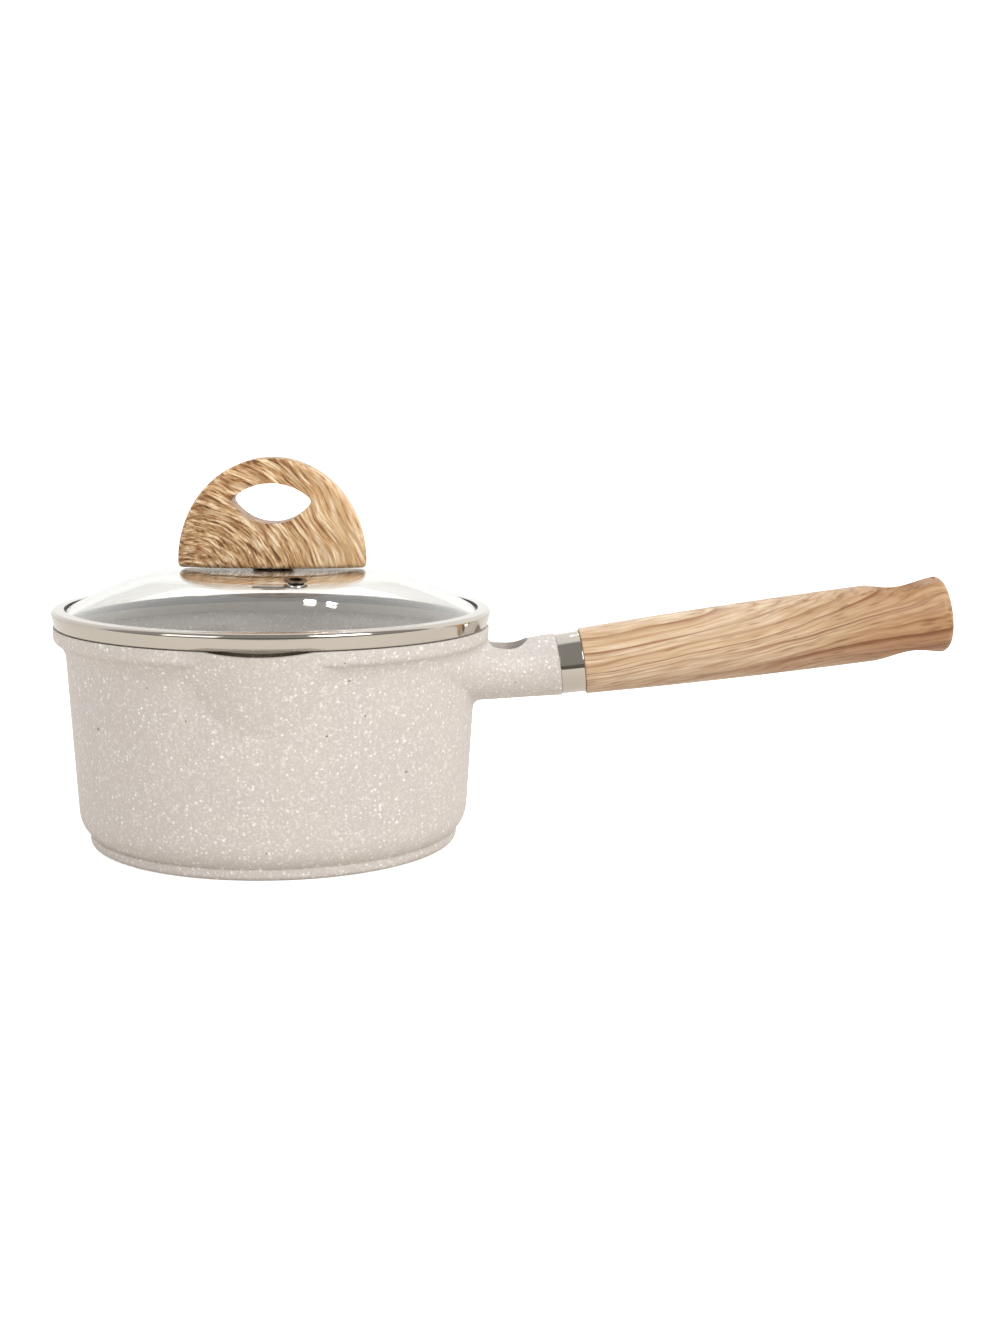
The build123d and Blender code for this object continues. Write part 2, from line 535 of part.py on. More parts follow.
# --- Knob: D-shaped, oval in plan, thinner at the top, with an eye-shaped finger hole ------------
arch_z = KNOB_BASE_Z + 2.2
with BuildPart() as lid_knob:
    with BuildSketch(Plane.XZ):
        with BuildLine():
            underside = ThreePointArc(
                (-KNOB_HALF_WIDTH, KNOB_BASE_Z + KNOB_END_LIFT),
                (0, KNOB_BASE_Z + 0.1),
                (KNOB_HALF_WIDTH, KNOB_BASE_Z + KNOB_END_LIFT),
            )
            Line(underside @ 1, (KNOB_HALF_WIDTH, arch_z))
            EllipticalCenterArc(
                (0, arch_z), KNOB_HALF_WIDTH, KNOB_TOP_Z - arch_z, start_angle=0, arc_size=180
            )
            Line((-KNOB_HALF_WIDTH, arch_z), underside @ 0)
        make_face()
    extrude(amount=2 * KNOB_HALF_DEPTH, both=True)
    with BuildSketch(Plane.YZ):
        with BuildLine():
            Polyline(
                (-KNOB_HALF_DEPTH, KNOB_BASE_Z - 2),
                (KNOB_HALF_DEPTH, KNOB_BASE_Z - 2),
                (KNOB_TOP_HALF_DEPTH, KNOB_TOP_Z + 2),
                (-KNOB_TOP_HALF_DEPTH, KNOB_TOP_Z + 2),
                close=True,
            )
        make_face()
    extrude(amount=2 * KNOB_HALF_WIDTH, both=True, mode=Mode.INTERSECT)
    with BuildSketch(Plane.XY.offset(KNOB_BASE_Z - 2)):
        Ellipse(KNOB_PLAN_HALF_LENGTH, KNOB_HALF_DEPTH)
    extrude(amount=KNOB_TOP_Z - KNOB_BASE_Z + 4, mode=Mode.INTERSECT)
    fillet(lid_knob.edges(), KNOB_EDGE)
    with BuildSketch(Plane.XZ):
        with BuildLine():
            brow = ThreePointArc(
                (-FINGER_HOLE_HALF_WIDTH, FINGER_HOLE_TIP_Z), (0, FINGER_HOLE_TOP_Z),
                (FINGER_HOLE_HALF_WIDTH, FINGER_HOLE_TIP_Z),
            )
            ThreePointArc(brow @ 1, (0, FINGER_HOLE_BOTTOM_Z), brow @ 0)
        make_face()
        fillet(vertices(), 1.8)
    extrude(amount=2 * KNOB_HALF_DEPTH, both=True, mode=Mode.SUBTRACT)
    # Boss that sits on the gasket, and the bore for the insert
    with BuildSketch(Plane.XY.offset(KNOB_BASE_Z)):
        Circle(GASKET_RADIUS - 0.5)
    extrude(amount=3)
    with BuildSketch(Plane.XY.offset(insert_base)):
        Circle(knob_insert_radius)
    extrude(amount=knob_insert_length + 0.5, mode=Mode.SUBTRACT)
    with BuildSketch(Plane.XY.offset(KNOB_BASE_Z - 1)):
        Circle(knob_thread + 0.2)
    extrude(amount=4, mode=Mode.SUBTRACT)
write(lid_knob, "lid_knob")
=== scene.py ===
from math import cos, pi, radians, sin

import bmesh
import bpy
import numpy as np
from mathutils import Matrix, Vector


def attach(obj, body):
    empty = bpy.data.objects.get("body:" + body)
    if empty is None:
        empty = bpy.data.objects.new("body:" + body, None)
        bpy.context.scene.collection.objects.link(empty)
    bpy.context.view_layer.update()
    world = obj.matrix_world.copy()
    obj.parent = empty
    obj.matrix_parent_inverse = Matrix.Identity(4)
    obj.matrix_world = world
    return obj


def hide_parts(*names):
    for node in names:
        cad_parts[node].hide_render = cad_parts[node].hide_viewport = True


# Saucepan with a glass lid: stone-effect coated casting, steel ferrule, wood-effect grip and knob, tempered
# glass lid in a polished steel band. Metres, +Z up, +X towards the handle.

MM = 0.001
MERGE_WITHIN = 0.001 * MM
SMOOTH_ANGLE = radians(50)
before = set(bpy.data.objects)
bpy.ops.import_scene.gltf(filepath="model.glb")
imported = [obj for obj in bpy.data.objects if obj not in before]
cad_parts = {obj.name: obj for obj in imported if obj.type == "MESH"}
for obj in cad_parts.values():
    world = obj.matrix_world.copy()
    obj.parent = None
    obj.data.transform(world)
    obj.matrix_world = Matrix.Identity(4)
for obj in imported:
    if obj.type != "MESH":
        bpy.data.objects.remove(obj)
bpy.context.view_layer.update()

# ------------------------------------------------------------------------------------------------
# Helpers
# ------------------------------------------------------------------------------------------------


def colour(text):
    """Linear RGBA from an sRGB hex value: c / 12.92 up to 0.04045, ((c + 0.055) / 1.055) ** 2.4 above."""
    parts = [int(text[i:i + 2], 16) / 255 for i in (1, 3, 5)]
    return tuple(c / 12.92 if c <= 0.04045 else ((c + 0.055) / 1.055) ** 2.4 for c in parts) + (1.0,)


def add(tree, kind, sockets=None, **settings):
    """Adds a node. Settings are its properties; sockets gives each input a value or another node's output."""
    node = tree.nodes.new(kind)
    for name, value in settings.items():
        setattr(node, name, value)
    for key, value in (sockets or {}).items():
        if isinstance(value, bpy.types.NodeSocket):
            tree.links.new(value, node.inputs[key])
        else:
            node.inputs[key].default_value = value
    return node


def material(name):
    """An empty material with a Principled shader, as (material, tree, shader)."""
    made = bpy.data.materials.new(name)
    made.use_nodes = True
    tree = made.node_tree
    return made, tree, tree.nodes["Principled BSDF"]


def ramp(tree, factor, *stops):
    """A colour ramp over factor; each stop is (position, hex colour)."""
    node = add(tree, "ShaderNodeValToRGB", {"Fac": factor})
    elements = node.color_ramp.elements
    while len(elements) < len(stops):
        elements.new(0.5)
    for element, (position, text) in zip(elements, stops):
        element.position, element.color = position, colour(text)
    return node.outputs["Color"]


def sums(tree, operation, a, b=0.0, c=0.0):
    """One Math node's output."""
    return add(tree, "ShaderNodeMath", {0: a, 1: b, 2: c}, operation=operation).outputs[0]


def blend(tree, factor, a, b, blend_type="MIX"):
    """One colour Mix node's output, a towards b."""
    node = add(tree, "ShaderNodeMix", {0: factor, 6: a, 7: b}, data_type="RGBA", blend_type=blend_type)
    return node.outputs[2]


def piece(name, points, body, node, finish):
    """A closed mesh from a grid of points (rows, columns, 3) in metres that runs round both ways: each cell is a
    quad from point (r, c) to (r + 1, c + 1). Its doubles are merged, its faces turned outwards and its edges
    smoothed up to SMOOTH_ANGLE. It rides a body and stands for a CAD node."""
    rows, columns = points.shape[:2]
    r, c = np.meshgrid(np.arange(rows), np.arange(columns), indexing="ij")
    r1, c1 = (r + 1) % rows, (c + 1) % columns
    quads = np.stack([r * columns + c, r * columns + c1, r1 * columns + c1, r1 * columns + c], -1)
    mesh = bpy.data.meshes.new(name)
    mesh.from_pydata(points.reshape(-1, 3), [], quads.reshape(-1, 4))
    work = bmesh.new()
    work.from_mesh(mesh)
    bmesh.ops.remove_doubles(work, verts=work.verts, dist=MERGE_WITHIN)
    bmesh.ops.dissolve_degenerate(work, edges=work.edges, dist=MERGE_WITHIN / 10)
    bmesh.ops.recalc_face_normals(work, faces=work.faces)
    for edge in work.edges:
        edge.smooth = len(edge.link_faces) == 2 and edge.calc_face_angle(0) < SMOOTH_ANGLE
    for face in work.faces:
        face.smooth = True
    work.to_mesh(mesh)
    work.free()
    mesh.materials.append(finish)
    made = bpy.data.objects.new(name, mesh)
    bpy.context.scene.collection.objects.link(made)
    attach(made, body)
    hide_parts(node)
    return made


def dress(node, finish):
    """Gives a carried-over CAD node its finish."""
    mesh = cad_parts[node].data
    mesh.materials.clear()
    mesh.materials.append(finish)


# ------------------------------------------------------------------------------------------------
# Finishes
# ------------------------------------------------------------------------------------------------


def speckled_coating():
    """Ceramic-type stone-effect coating sprayed on cast aluminium and cured: satin cream, dense torn off-white
    flecks 0.4 to 1.5 mm across, a rare dark grey dot, and a faint orange peel that softens its sheen."""
    made, tree, shader = material("stone_effect_coating")
    place = add(tree, "ShaderNodeTexCoord").outputs["Object"]
    # Slow drift of the tone, warm to grey, over about 30 mm
    drift = add(tree, "ShaderNodeTexNoise", {"Vector": place, "Scale": 1 / (24 * MM), "Detail": 3.0}).outputs["Fac"]
    base = ramp(tree, drift, (0.38, "#C7BFBA"), (0.62, "#CAC2BB"))
    # Torn flecks: islands of fine noise; size in mm, where they start, how opaque, colour
    for size, start, strength, text in (
        (0.75, 0.51, 0.30, "#EDE8E3"), (1.3, 0.55, 0.42, "#F3EFEA"), (2.4, 0.60, 0.45, "#F6F2EE"),
    ):
        torn = add(tree, "ShaderNodeTexNoise", {
            "Vector": place, "Scale": 1 / (size * MM), "Detail": 3.0, "Roughness": 0.65, "Distortion": 0.6})
        island = add(tree, "ShaderNodeMapRange", {
            0: torn.outputs["Fac"], 1: start, 2: start + 0.09}).outputs[0]
        base = blend(tree, sums(tree, "MULTIPLY", island, strength), base, colour(text))
    # Crisp flecks and dots, their outlines torn by 0.35 mm: spacing in mm, share of the cells that carry one,
    # radius as a share of the spacing, how opaque, colour
    tear = add(tree, "ShaderNodeTexNoise", {"Vector": place, "Scale": 1 / (0.9 * MM), "Detail": 1.0}).outputs["Color"]
    torn_place = add(tree, "ShaderNodeVectorMath", {
        0: tear, 1: (0.7 * MM, 0.7 * MM, 0.7 * MM), 2: place}, operation="MULTIPLY_ADD").outputs[0]
    for cell, share, radius, strength, text in (
        (1.7, 0.80, 0.40, 0.68, "#FBF8F3"), (2.9, 0.55, 0.26, 0.78, "#FEFCF8"), (7.0, 0.50, 0.115, 0.90, "#57504A"),
    ):
        spots = add(tree, "ShaderNodeTexVoronoi", {"Vector": torn_place, "Scale": 1 / (cell * MM)}, feature="F1")
        chance = add(tree, "ShaderNodeSeparateColor", {0: spots.outputs["Color"]}).outputs[0]
        edge = sums(tree, "MULTIPLY", chance, radius / share)
        inside = add(tree, "ShaderNodeMapRange", {
            0: sums(tree, "SUBTRACT", edge, spots.outputs["Distance"]), 1: 0.0, 2: 0.4 * radius}).outputs[0]
        carries = sums(tree, "MULTIPLY", sums(tree, "LESS_THAN", chance, share), strength)
        base = blend(tree, sums(tree, "MULTIPLY", inside, carries), base, colour(text))
    tree.links.new(base, shader.inputs["Base Color"])
    shader.inputs["Roughness"].default_value = 0.46
    shader.inputs["IOR"].default_value = 1.5
    peel = add(tree, "ShaderNodeTexNoise", {"Vector": place, "Scale": 1 / (1.6 * MM), "Detail": 2.0})
    bump = add(tree, "ShaderNodeBump", {
        "Height": peel.outputs["Fac"], "Strength": 0.25, "Distance": 0.12 * MM})
    tree.links.new(bump.outputs[0], shader.inputs["Normal"])
    return made


def polished_steel():
    """Stainless sheet, pressed and polished: clean warm reflections with a trace of polishing haze."""
    made, tree, shader = material("polished_stainless")
    place = add(tree, "ShaderNodeTexCoord").outputs["Object"]
    haze = add(tree, "ShaderNodeTexNoise", {"Vector": place, "Scale": 1 / (9 * MM), "Detail": 4.0}).outputs["Fac"]
    rough = add(tree, "ShaderNodeMapRange", {0: haze, 1: 0.3, 2: 0.7, 3: 0.05, 4: 0.12}).outputs[0]
    tree.links.new(rough, shader.inputs["Roughness"])
    shader.inputs["Base Color"].default_value = colour("#C7C0B6")
    shader.inputs["Metallic"].default_value = 1.0
    return made


def turned_steel():
    """Perforated stainless disc, turned on a lathe: fine concentric rings that streak the light."""
    made, tree, shader = material("turned_stainless")
    place = add(tree, "ShaderNodeTexCoord").outputs["Object"]
    rings = add(tree, "ShaderNodeTexWave", {
        "Vector": place, "Scale": 1 / (2.4 * MM), "Distortion": 0.4, "Detail": 2.0},
        wave_type="RINGS", rings_direction="Z").outputs["Fac"]
    bump = add(tree, "ShaderNodeBump", {"Height": rings, "Strength": 0.35, "Distance": 0.05 * MM})
    tree.links.new(bump.outputs[0], shader.inputs["Normal"])
    tone = ramp(tree, rings, (0.0, "#A9A7A4"), (1.0, "#C4C2BF"))
    tree.links.new(tone, shader.inputs["Base Color"])
    shader.inputs["Metallic"].default_value = 1.0
    shader.inputs["Roughness"].default_value = 0.3
    return made


def fastener_steel():
    """Zinc-plated steel: soft grey metal with a slightly uneven plated bloom."""
    made, tree, shader = material("zinc_plated_steel")
    place = add(tree, "ShaderNodeTexCoord").outputs["Object"]
    bloom = add(tree, "ShaderNodeTexNoise", {"Vector": place, "Scale": 1 / (2.5 * MM), "Detail": 3.0}).outputs["Fac"]
    tree.links.new(ramp(tree, bloom, (0.3, "#A3A3A4"), (0.7, "#BDBDBC")), shader.inputs["Base Color"])
    rough = add(tree, "ShaderNodeMapRange", {0: bloom, 1: 0.3, 2: 0.7, 3: 0.24, 4: 0.38}).outputs[0]
    tree.links.new(rough, shader.inputs["Roughness"])
    shader.inputs["Metallic"].default_value = 1.0
    return made


def turned_brass():
    """Turned brass: yellow metal with light tool marks."""
    made, tree, shader = material("turned_brass")
    place = add(tree, "ShaderNodeTexCoord").outputs["Object"]
    marks = add(tree, "ShaderNodeTexNoise", {"Vector": place, "Scale": 1 / (0.8 * MM), "Detail": 2.0}).outputs["Fac"]
    tree.links.new(ramp(tree, marks, (0.3, "#B8904A"), (0.7, "#D0AC66")), shader.inputs["Base Color"])
    shader.inputs["Metallic"].default_value = 1.0
    shader.inputs["Roughness"].default_value = 0.28
    return made


def clear_glass():
    """Tempered soda-lime glass: clear, with the faintest green and a fire-polished surface."""
    made, tree, shader = material("tempered_glass")
    shader.inputs["Base Color"].default_value = colour("#FEFFFE")
    shader.inputs["Specular IOR Level"].default_value = 0.3
    shader.inputs["Roughness"].default_value = 0.0
    shader.inputs["IOR"].default_value = 1.5
    shader.inputs["Transmission Weight"].default_value = 1.0
    return made


def dark_silicone():
    """Moulded silicone rubber: near-black, soft satin, with a fine moulded bloom."""
    made, tree, shader = material("silicone_rubber")
    place = add(tree, "ShaderNodeTexCoord").outputs["Object"]
    bloom = add(tree, "ShaderNodeTexNoise", {"Vector": place, "Scale": 1 / (3 * MM), "Detail": 3.0}).outputs["Fac"]
    tree.links.new(ramp(tree, bloom, (0.3, "#2B2926"), (0.7, "#37342F")), shader.inputs["Base Color"])
    shader.inputs["Roughness"].default_value = 0.5
    shader.inputs["IOR"].default_value = 1.42
    return made


HANDLE_TILT = radians(7.65)
NECK_END = (110.7 * MM, 0.0, 67.9 * MM)      # middle of the neck's end face
GRIP_FRONT = 9.6 * MM                        # ferrule length


def wood_effect_grip():
    """Water-transfer wood print under satin lacquer on moulded phenolic: honey beech tone, orange-brown grain
    lines 3 to 6 mm apart that climb and fan out towards the end, fine pores along them."""
    made, tree, shader = material("wood_effect_phenolic_grip")
    place = add(tree, "ShaderNodeTexCoord").outputs["Object"]
    held = add(tree, "ShaderNodeMapping", {"Vector": place, "Location": (-NECK_END[0], 0.0, -NECK_END[2])}).outputs[0]
    turned = add(tree, "ShaderNodeMapping", {
        "Vector": held, "Rotation": (0.0, HANDLE_TILT, 0.0), "Location": (-GRIP_FRONT, 0.0, 0.0)}).outputs[0]
    run, side, height = add(tree, "ShaderNodeSeparateXYZ", {0: turned}).outputs
    # Stream lines: they climb with the square of the distance, then spread from 6 mm below the axis
    near = sums(tree, "SMOOTH_MIN", run, 100 * MM, 35 * MM)
    climb = sums(tree, "MULTIPLY_ADD", sums(tree, "MULTIPLY", near, near), 0.95, sums(tree, "MULTIPLY", near, 0.04))
    spread = add(tree, "ShaderNodeMapRange", {0: run, 1: 84 * MM, 2: 152 * MM, 3: 1.0, 4: 0.46},
                 interpolation_type="SMOOTHSTEP").outputs[0]
    level = sums(tree, "MULTIPLY", sums(tree, "SUBTRACT", sums(tree, "ADD", height, 19 * MM), climb), spread)
    slow = add(tree, "ShaderNodeVectorMath", {0: turned, 1: (0.22, 0.8, 0.6)}, operation="MULTIPLY").outputs[0]
    drift = add(tree, "ShaderNodeTexNoise", {"Vector": slow, "Scale": 1 / (11 * MM), "Detail": 2.0}).outputs["Fac"]
    level = sums(tree, "MULTIPLY_ADD", drift, 5.5 * MM, level)
    flow = add(tree, "ShaderNodeCombineXYZ", {
        0: sums(tree, "MULTIPLY", run, 1 / 24), 1: sums(tree, "MULTIPLY", side, 1 / 2.4), 2: level}).outputs[0]
    fibres = add(tree, "ShaderNodeTexNoise", {
        "Vector": flow, "Scale": 1 / (0.85 * MM), "Detail": 3.0, "Roughness": 0.6}).outputs["Fac"]
    base = ramp(tree, fibres, (0.34, "#C4A582"), (0.50, "#D8BE9E"), (0.66, "#E8D5BA"))
    cloud = add(tree, "ShaderNodeTexNoise", {"Vector": flow, "Scale": 1 / (6 * MM), "Detail": 2.0}).outputs["Fac"]
    base = blend(tree, add(tree, "ShaderNodeMapRange", {0: cloud, 1: 0.44, 2: 0.66, 3: 0.0, 4: 0.5}).outputs[0],
                 base, colour("#C49C72"))
    # Grain lines: every band of the level darkens slowly and ends in a thin dark line; spacing in mm,
    # how much they wander, where the darkening starts, opacity, colour
    for spacing, wander, start, strength, text in (
        (5.0, 1.7, 0.50, 0.95, "#8F5A32"), (2.3, 1.3, 0.50, 0.60, "#9C6A3C"),
    ):
        bend = add(tree, "ShaderNodeTexNoise", {
            "Vector": flow, "Scale": 1 / (2.2 * spacing * MM), "Detail": 1.0}).outputs["Fac"]
        phase = sums(tree, "FRACT", sums(tree, "MULTIPLY_ADD", bend, 2 * wander, sums(
            tree, "DIVIDE", level, spacing * MM)))
        rise = add(tree, "ShaderNodeMapRange", {0: phase, 1: start, 2: 0.93}).outputs[0]
        fall = add(tree, "ShaderNodeMapRange", {0: phase, 1: 1.0, 2: 0.94}).outputs[0]
        line = sums(tree, "MULTIPLY", sums(tree, "POWER", rise, 2.4), fall)
        broken = add(tree, "ShaderNodeTexNoise", {
            "Vector": flow, "Scale": 1 / (1.1 * spacing * MM), "Detail": 2.0}).outputs["Fac"]
        broken = add(tree, "ShaderNodeMapRange", {0: broken, 1: 0.36, 2: 0.58, 3: 0.1, 4: strength}).outputs[0]
        base = blend(tree, sums(tree, "MULTIPLY", line, broken), base, colour(text))
    pores = add(tree, "ShaderNodeTexVoronoi", {
        "Vector": add(tree, "ShaderNodeVectorMath", {0: flow, 1: (2.2, 1.0, 1.0)}, operation="MULTIPLY").outputs[0],
        "Scale": 1 / (1.0 * MM)}, feature="F1")
    pore = add(tree, "ShaderNodeMapRange", {0: pores.outputs["Distance"], 1: 0.36, 2: 0.14}).outputs[0]
    many = add(tree, "ShaderNodeMapRange", {0: run, 1: 60 * MM, 2: 140 * MM, 3: 0.28, 4: 0.75}).outputs[0]
    chosen = sums(tree, "GREATER_THAN", many, add(
        tree, "ShaderNodeSeparateColor", {0: pores.outputs["Color"]}).outputs[0])
    base = blend(tree, sums(tree, "MULTIPLY", sums(tree, "MULTIPLY", pore, chosen), 0.5), base, colour("#7E5330"))
    # The print is browner near the end. The lower side is darker and greyer: mostly painted shade, partly the print's
    # own pinkish tone
    end = add(tree, "ShaderNodeMapRange", {0: run, 1: 45 * MM, 2: 140 * MM, 3: 0.0, 4: 0.85},
              interpolation_type="SMOOTHSTEP").outputs[0]
    base = blend(tree, end, base, colour("#D0B494"), "MULTIPLY")
    # Painted shade with some pinkish tint: darker and greyer towards the underside of the grip
    shade_and_tint_under = add(tree, "ShaderNodeMapRange", {0: height, 1: 1 * MM, 2: -12 * MM, 3: 0.0, 4: 1.0},
                interpolation_type="SMOOTHSTEP").outputs[0]
    base = blend(tree, shade_and_tint_under, base, colour("#E6DDDA"), "MULTIPLY")
    tree.links.new(base, shader.inputs["Base Color"])
    shader.inputs["Roughness"].default_value = 0.42
    shader.inputs["IOR"].default_value = 1.5
    bump = add(tree, "ShaderNodeBump", {"Height": fibres, "Strength": 0.12, "Distance": 0.08 * MM})
    tree.links.new(bump.outputs[0], shader.inputs["Normal"])
    return made


def wood_effect_knob():
    """The same print on the knob, in a browner tone: grain in arcs about the knob's lower left corner, with
    close dark streaks about 0.7 mm wide and 6 mm long, and pale flecks between them."""
    made, tree, shader = material("wood_effect_phenolic_knob")
    place = add(tree, "ShaderNodeTexCoord").outputs["Object"]
    held = add(tree, "ShaderNodeMapping", {"Vector": place, "Location": (34.0 * MM, 0.0, -91.0 * MM)}).outputs[0]
    drift = add(tree, "ShaderNodeTexNoise", {"Vector": place, "Scale": 1 / (22 * MM), "Detail": 1.0}).outputs["Fac"]
    x, y, z = add(tree, "ShaderNodeSeparateXYZ", {0: held}).outputs
    radius = sums(tree, "SQRT", sums(tree, "MULTIPLY_ADD", x, x, sums(tree, "MULTIPLY", z, z)))
    radius = sums(tree, "MULTIPLY_ADD", drift, 9 * MM, radius)
    angle = sums(tree, "ARCTAN2", z, x)
    flow = add(tree, "ShaderNodeCombineXYZ", {
        0: radius, 1: sums(tree, "MULTIPLY", y, 0.5), 2: sums(tree, "MULTIPLY", angle, 5.0 * MM)}).outputs[0]
    fibres = add(tree, "ShaderNodeTexNoise", {"Vector": flow, "Scale": 1 / (1.05 * MM), "Detail": 3.0,
                                              "Roughness": 0.7}).outputs["Fac"]
    # Streaks are bold over the left half and calmer towards the right, and the same mask lowers the tone on the left:
    # painted shade
    bold_and_shaded_left = add(tree, "ShaderNodeMapRange", {0: x, 1: 62 * MM, 2: 34 * MM, 3: 0.55, 4: 1.0},
               interpolation_type="SMOOTHSTEP").outputs[0]
    contrast = sums(tree, "MULTIPLY_ADD", sums(tree, "SUBTRACT", fibres, 0.5), bold_and_shaded_left,
                    sums(tree, "MULTIPLY_ADD", bold_and_shaded_left, -0.075, 0.579))
    base = ramp(tree, contrast, (0.385, "#6B4727"), (0.44, "#A27548"), (0.50, "#CCA172"), (0.56, "#DDBA8D"),
                (0.64, "#FBE8C8"))
    wander = add(tree, "ShaderNodeTexNoise", {"Vector": flow, "Scale": 1 / (5 * MM), "Detail": 2.0}).outputs["Fac"]
    phase = sums(tree, "FRACT", sums(tree, "MULTIPLY_ADD", wander, 2.4, sums(tree, "DIVIDE", radius, 6.5 * MM)))
    line = sums(tree, "POWER", add(tree, "ShaderNodeMapRange", {0: phase, 1: 0.35, 2: 0.96}).outputs[0], 2.0)
    base = blend(tree, sums(tree, "MULTIPLY", line, sums(tree, "MULTIPLY", bold_and_shaded_left, 0.5)), base, colour("#8E5F36"))
    tree.links.new(base, shader.inputs["Base Color"])
    shader.inputs["Roughness"].default_value = 0.42
    shader.inputs["IOR"].default_value = 1.5
    bump = add(tree, "ShaderNodeBump", {"Height": fibres, "Strength": 0.12, "Distance": 0.08 * MM})
    tree.links.new(bump.outputs[0], shader.inputs["Normal"])
    return made


def dull_steel():
    """Rolled steel eyelet, browned by steam: dark, soft reflections."""
    made, tree, shader = material("browned_steel")
    place = add(tree, "ShaderNodeTexCoord").outputs["Object"]
    stain = add(tree, "ShaderNodeTexNoise", {"Vector": place, "Scale": 1 / (1.5 * MM), "Detail": 3.0}).outputs["Fac"]
    tree.links.new(ramp(tree, stain, (0.35, "#5E564D"), (0.65, "#857A6C")), shader.inputs["Base Color"])
    shader.inputs["Metallic"].default_value = 1.0
    shader.inputs["Roughness"].default_value = 0.3
    return made


coating, steel, disc_steel, zinc, brass = (
    speckled_coating(), polished_steel(), turned_steel(), fastener_steel(), turned_brass())
glass, silicone, grip_wood, knob_wood, eyelet_steel = (
    clear_glass(), dark_silicone(), wood_effect_grip(), wood_effect_knob(), dull_steel())

# ------------------------------------------------------------------------------------------------
# Pieces
# ------------------------------------------------------------------------------------------------

for node, finish in (
    ("induction_disc", disc_steel), ("grip_insert", brass), ("knob_insert", brass), ("handle_screw", zinc),
    ("handle_spring_washer", zinc), ("knob_screw", zinc), ("knob_washer", zinc), ("rim_seal", silicone),
    ("knob_gasket_upper", silicone), ("knob_gasket_lower", silicone), ("vent_eyelet", eyelet_steel),
    ("lid_knob", knob_wood), ("grip", grip_wood), ("pan_body", coating),
):
    dress(node, finish)


def arc(centre, radius, start, stop, steps):
    """Points on a circle from one angle to another, in degrees."""
    angles = np.radians(np.linspace(start, stop, steps))
    return np.stack([centre[0] + radius * np.cos(angles), centre[1] + radius * np.sin(angles)], -1)


def hermite(start, stop, out_way, in_way, steps):
    """Cubic from start to stop leaving along out_way and arriving along in_way: the Hermite blend
    (2t^3-3t^2+1) p0 + (t^3-2t^2+t) m0 + (3t^2-2t^3) p1 + (t^3-t^2) m1."""
    t = np.linspace(0, 1, steps)[:, None]
    p0, p1, m0, m1 = (np.array(v, float) for v in (start, stop, out_way, in_way))
    return ((2 * t**3 - 3 * t**2 + 1) * p0 + (t**3 - 2 * t**2 + t) * m0
            + (3 * t**2 - 2 * t**3) * p1 + (t**3 - t**2) * m1)


def turned_surface(profile, columns):
    """Points of a surface of revolution about the pan's axis: each profile point (r, z) in mm goes round as
    (r cos a, r sin a, z), in metres."""
    around = np.linspace(0, 2 * pi, columns, endpoint=False)
    r, z = profile[:, :1], profile[:, 1:]
    return MM * np.stack([r * np.cos(around), r * np.sin(around), z + 0 * around], -1)


# Rim band: one bright sheet 0.5 mm thick, as (radius, height) in mm: from the lip over the glass edge, round the
# shoulder, down the leaning face with a small hem, under the glass and down the locating flange, then back inside
band_profile = np.concatenate([
    arc((79.25, 90.65), 0.25, 180, 92, 5),
    np.linspace((79.8, 90.86), (82.4, 90.71), 6),
    hermite((82.5, 90.7), (83.86, 89.1), (2.3, -0.14), (-0.1, -2.3), 12),
    np.linspace((83.84, 88.9), (82.96, 84.72), 6),
    arc((82.55, 84.68), 0.38, -6, -90, 6),
    np.linspace((82.3, 84.3), (79.55, 84.3), 5),
    arc((79.55, 84.05), 0.25, 90, 180, 4),
    np.linspace((79.3, 83.8), (79.3, 80.65), 4),
    arc((79.05, 80.65), 0.25, 0, -180, 9),
    np.linspace((78.8, 80.9), (78.8, 84.8), 4),
    np.linspace((79.0, 84.8), (82.35, 84.8), 5),
    np.linspace((82.45, 84.95), (83.36, 88.9), 5),
    hermite((83.4, 89.1), (82.5, 90.2), (0.08, 1.7), (-1.7, 0.1), 8),
    np.linspace((82.3, 90.21), (79.25, 90.4), 5),
])
piece("rim_band", turned_surface(band_profile, 256), "lid", "lid_rim_band", steel)

# Glass: flat seat, blend arc and shallow sphere, with the ground edge rounded and the screw's hole in the middle
SEAT_Z, SEAT_R, DOME_R, DOME_Z, GLASS_R, SHEET_GLASS, HOLE_R = 105.3, 32.0, 163.0, -52.8, 80.8, 3.3, 3.6
BLEND_R = (DOME_R**2 - SEAT_R**2 - (SEAT_Z - DOME_Z) ** 2) / (2 * (DOME_R - (SEAT_Z - DOME_Z)))


def dome_height(radius, depth):
    """Height of the glass in mm at a distance from the axis, a depth below its outside: flat up to the seat's
    radius, then z = zb + sqrt(rb^2 - (r - seat)^2) on the blend, then zd + sqrt(rd^2 - r^2) on the sphere."""
    tangent_at = SEAT_R * (DOME_R - depth) / (DOME_R - BLEND_R)
    blend_z = SEAT_Z - BLEND_R + np.sqrt(np.maximum((BLEND_R - depth) ** 2 - (radius - SEAT_R) ** 2, 0))
    dome_z = DOME_Z + np.sqrt((DOME_R - depth) ** 2 - radius**2)
    return np.where(radius <= SEAT_R, SEAT_Z - depth, np.where(radius <= tangent_at, blend_z, dome_z))


